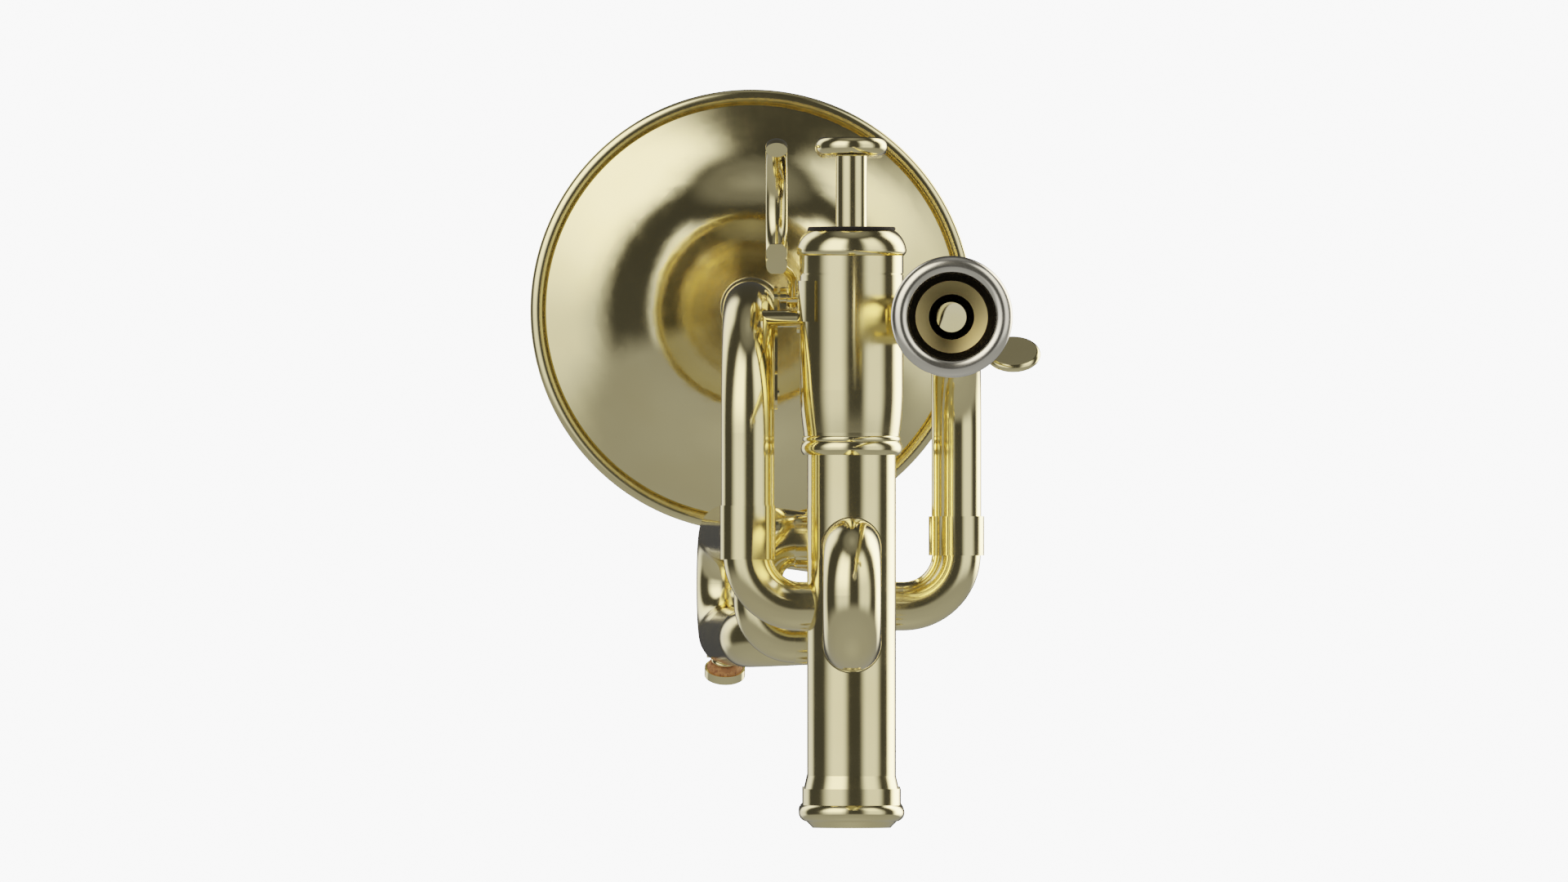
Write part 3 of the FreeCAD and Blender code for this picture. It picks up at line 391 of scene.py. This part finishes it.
def studio():
    """White sweep that only the camera sees, and soft panels that light the horn, with dark gaps between.
    Azimuth 0 is the direction of the camera (-Y) and grows towards +X; elevation 0 is level."""
    world = bpy.data.worlds.new("studio")
    bpy.context.scene.world = world
    tree = Tree(world)
    place = tree.new("ShaderNodeTexCoord")
    split = tree.new("ShaderNodeSeparateXYZ")
    tree.link(place.outputs["Generated"], split.inputs[0])
    x, y, z = split.outputs
    azimuth = tree.math("DEGREES", tree.math("ARCTAN2", x, tree.math("MULTIPLY", y, -1.0)))
    elevation = tree.math("DEGREES", tree.math("ARCSINE", z))
    height = tree.math("DIVIDE", tree.math("ADD", elevation, 90), 180)
    ambient = tree.ramp(height, [
        (0.0, (0.44,) * 3), (0.20, (0.36,) * 3), (0.37, (0.32,) * 3), (0.455, (0.052,) * 3),
        (0.83, (0.044,) * 3), (0.91, (0.17,) * 3), (1.0, (0.30,) * 3),
    ])
    panels = [
        # level, across, upward
        (1.20, (-80, -46, -26, -4), (-24, -6, 50, 66)),       # left key
        (2.60, (-78, -50, -28, -8), (-4, 26, 42, 64)),        # its brighter upper half
        (1.20, (20, 42, 62, 85), (-24, -6, 50, 64)),          # right panel
        (0.90, (28, 44, 58, 74), (10, 34, 44, 60)),           # its brighter upper half
        (BRIGHTEST_PANEL, (101, 124, 136, 158), (-20, 0, 36, 54)),    # rim light, right rear
        (1.20, (-160, -146, -130, -112), (-22, -8, 36, 54)),  # left rear
        (0.90, (-158, -146, -134, -116), (0, 22, 36, 52)),    # its brighter upper half
    ]
    total = None
    for level, across, upward in panels:
        value = soft_box(tree, azimuth, elevation, level, across, upward)
        total = value if total is None else tree.math("ADD", total, value)
    # dim panels are white; the brighter, the warmer
    warmth = tree.ramp(tree.math("DIVIDE", total, BRIGHTEST_PANEL), [
        (0.10, (1.0, 1.0, 1.0)), (0.16, (1.0, 0.97, 0.92)), (0.26, (1.0, 0.93, 0.80)),
        (0.48, (1.0, 0.87, 0.68)), (1.0, (1.0, 0.87, 0.64)),
    ])
    panel_light = tree.new("ShaderNodeVectorMath", operation="SCALE")
    tree.link(warmth, panel_light.inputs[0])
    tree.link(total, panel_light.inputs["Scale"])
    add = tree.new("ShaderNodeVectorMath", operation="ADD")
    tree.link(ambient, add.inputs[0])
    tree.link(panel_light.outputs[0], add.inputs[1])
    light = tree.new("ShaderNodeBackground")
    tree.link(add.outputs[0], light.inputs["Color"])
    sweep = tree.new("ShaderNodeBackground")
    sweep.inputs["Color"].default_value = (1, 1, 1, 1)
    sweep.inputs["Strength"].default_value = 6.0
    path = tree.new("ShaderNodeLightPath")
    mix = tree.new("ShaderNodeMixShader")
    tree.link(path.outputs["Is Camera Ray"], mix.inputs["Fac"])
    tree.link(light.outputs[0], mix.inputs[1])
    tree.link(sweep.outputs[0], mix.inputs[2])
    output = tree.new("ShaderNodeOutputWorld")
    tree.link(mix.outputs[0], output.inputs["Surface"])


def camera():
    """Long lens far off on the player's side, looking along +Y; its place is in metres."""
    data = bpy.data.cameras.new("camera")
    data.lens = 800
    data.sensor_width = 36
    data.clip_end = 100
    view = bpy.data.objects.new("camera", data)
    view.location = (-0.01505, -7.785, 0.08615)
    view.rotation_euler = (math.radians(90), 0, 0)
    bpy.context.scene.collection.objects.link(view)
    bpy.context.scene.camera = view


def bore_light():
    """Small light low in the leadpipe's bend, shining up on the wall that shows through the throat."""
    data = bpy.data.lights.new("bore_light", "AREA")
    data.shape = "DISK"
    data.size = 7.8 * MM
    data.energy = 0.00012
    light = bpy.data.objects.new("bore_light", data)
    light.location = [value * MM for value in BORE_LIGHT_PLACE]
    light.rotation_mode = "QUATERNION"
    up_and_back = Vector((0, -0.5, 0.866))    # 60 degrees up, towards the mouthpiece
    light.rotation_quaternion = up_and_back.to_track_quat("-Z", "Y")
    bpy.context.scene.collection.objects.link(light)


def floor():
    """Pale round floor, a little below the horn; the white sweep takes over beyond it."""
    material, tree, shader = surface("floor", Roughness=0.9)
    grain = tree.noise(40, detail=3)
    tree.link(tree.mix(grain, (0.88, 0.88, 0.88), (0.92, 0.92, 0.92)), shader.inputs["Base Color"])
    grid = bmesh.new()
    bmesh.ops.create_circle(grid, cap_ends=True, segments=96, radius=FLOOR_RADIUS)
    bmesh.ops.translate(grid, verts=grid.verts, vec=(0, 0, FLOOR_HEIGHT))
    disc = finish_mesh("floor", grid, [material])
    disc.visible_glossy = False


# ---- pieces ---------------------------------------------------------------------------------------
# Outlines are points of (radius, height along the axis).

def place_on_valve(grid, number):
    """Move a piece made round the origin's Z axis to a valve's axis."""
    bmesh.ops.translate(grid, verts=grid.verts, vec=(0, VALVE_Y[number], 0))


def button_inlay(number, material):
    """Slightly domed pearl disc in the finger button."""
    grid = lathe(profile([
        (0, 153.32), (5.70, 153.32), (5.74, 153.45), (5.66, 153.62), ("arc", (2.9, 153.74), (0, 153.78)),
    ]))
    place_on_valve(grid, number)
    add_piece(f"button_inlay_{number}", grid, [material], f"valve_{number}", "lacquered_brass")


def cap_felt(number, material, *replaced):
    """Soft-edged felt washer on the top cap."""
    grid = lathe(profile([
        (3.7, 132.92), (9.5, 132.92), ("arc", (9.8, 133.38), (9.5, 133.85)), (6.5, 133.9), (3.75, 133.85),
        (3.6, 133.6), (3.6, 133.1),
    ]))
    place_on_valve(grid, number)
    add_piece(f"cap_felt_{number}", grid, [material], "horn", "felt", *replaced, sharp=60)


def mouthpiece(silver, gold, black):
    """Silver-plated shell; the inside has a gold cone between steep walls, and the walls and throat are
    painted near-black as a painted dark reflection.
    """
    cup = profile([(4.1, -139), (3.29, -172), (3.29, -177), (4.94, -185.0), (7.88, -186.6), (9.4, -198.9)])
    shell = profile([
        (9.4, -198.9), ("arc", (10.2, -199.8), (11.6, -200.0)), ("arc", (12.9, -199.1), (13.24, -197.4)),
        ("arc", (12.9, -195.7), (12.1, -194.7)), (11.2, -188), ("arc", (9.2, -179.5), (6.6, -172.5)),
        (6.6, -171.5), (5.9, -169), (5.7, -161), (4.7, -139),
    ])
    grid = lathe(cup[:-1] + shell)
    grid.faces.ensure_lookup_table()
    finishes = [silver, gold, black]
    # the throat and the steep walls take the painted dark reflection; the cone is gold
    inside = {1: black, 2: black, 3: gold, 4: black}    # by stretch of the outline, from the shank's bore out
    for band, finish in inside.items():
        for face in grid.faces[band * LATHE_STEPS:(band + 1) * LATHE_STEPS]:
            face.material_index = finishes.index(finish)
    lay_along_y(grid, PIPE_AXIS)
    add_piece("mouthpiece_body", grid, finishes, "mouthpiece", "silver_plate", "mouthpiece", sharp=14)


def bell_rim(material):
    """Rolled bead round the bell's mouth, with the fine seam where its edge closes."""
    middle, half_width, half_depth, seam = 49.0, 1.8, 1.3, 0.15
    start = math.asin(seam / half_width)
    angles = [start + (2 * math.pi - 2 * start) * i / ROLL_STEPS for i in range(ROLL_STEPS + 1)]
    outline = [
        (middle + half_width * math.sin(a), BELL_RIM_Y + half_depth * math.cos(a)) for a in angles
    ]
    floor_of_seam = BELL_RIM_Y + 0.9
    grid = lathe(outline + [(middle - seam, floor_of_seam), (middle + seam, floor_of_seam)], RIM_STEPS)
    lay_along_y(grid, BELL_AXIS)
    add_piece("bell_rim_roll", grid, [material], "horn", "lacquered_brass", "bell_rim_bead", sharp=50)


def place_on_key(grid):
    """Put a turned piece on the axis of the water key's cup; height 0 is the middle of the CAD cork,
    and heights grow away from the crook."""
    low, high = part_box("water_key_cork")
    middle = (low + high) / 2 / MM
    outward = Vector((-math.sin(THIRD_SLIDE_TURN), math.cos(THIRD_SLIDE_TURN), 0))
    axis = outward * math.sin(KEY_ANGLE) - Vector((0, 0, 1)) * math.cos(KEY_ANGLE)
    turn = Vector((0, 0, 1)).rotation_difference(axis).to_matrix().to_4x4()
    bmesh.ops.transform(grid, matrix=Matrix.Translation(middle) @ turn, verts=grid.verts)


def water_key_cork(material):
    """Cork in the key's cup, rising from it in a worn dome to the drain pipe."""
    grid = lathe(profile([
        (0, -2.24), (3.2, -2.24), ("arc", (3.62, -1.9), (3.9, -1.2)), (4.1, -0.6), (4.12, 0.7), (0, 0.7),
    ]))
    place_on_key(grid)
    add_piece("water_key_cork_plug", grid, [material], "water_key", "cork", "water_key_cork")


def water_key_drain(material):
    """Short drain pipe with a rounded lip, from the crook's wall to the cork."""
    grid = lathe(profile([
        (1.5, -5.3), (2.8, -5.3), (2.8, -3.2), ("arc", (3.12, -2.78), (2.8, -2.27)), (1.5, -2.27),
    ]))
    place_on_key(grid)
    add_piece("water_key_drain", grid, [material], "third_slide", "lacquered_brass", "water_key_nipple")


def paint_frame(materials):
    """Give every CAD node the material of its slot."""
    for name, node in nodes.items():
        node.data.materials.clear()
        node.data.materials.append(materials[slot_of[name]])


studio()
camera()
bore_light()
floor()
materials = {
    "lacquered_brass": lacquered_brass(),
    "silver_plate": silver_plate(),
    "piston_monel": lapped_monel(),
    "spring_steel": spring_steel(),
    "felt": black_felt(),
    "guide_plastic": guide_plastic(),
    "cork": cork(),
}
paint_frame(materials)
bell_rim(materials["lacquered_brass"])
pearl = mother_of_pearl()
for number in VALVE_Y:
    button_inlay(number, pearl)
for number, replaced in ((1, ("cap_felts",)), (2, ()), (3, ())):
    cap_felt(number, materials["felt"], *replaced)
# the mouthpiece's throat and steep walls get the painted dark reflection
mouthpiece(materials["silver_plate"], washed_gold(), painted_dark_reflection())
water_key_cork(materials["cork"])
water_key_drain(materials["lacquered_brass"])
bpy.context.scene.view_settings.view_transform = "Filmic"
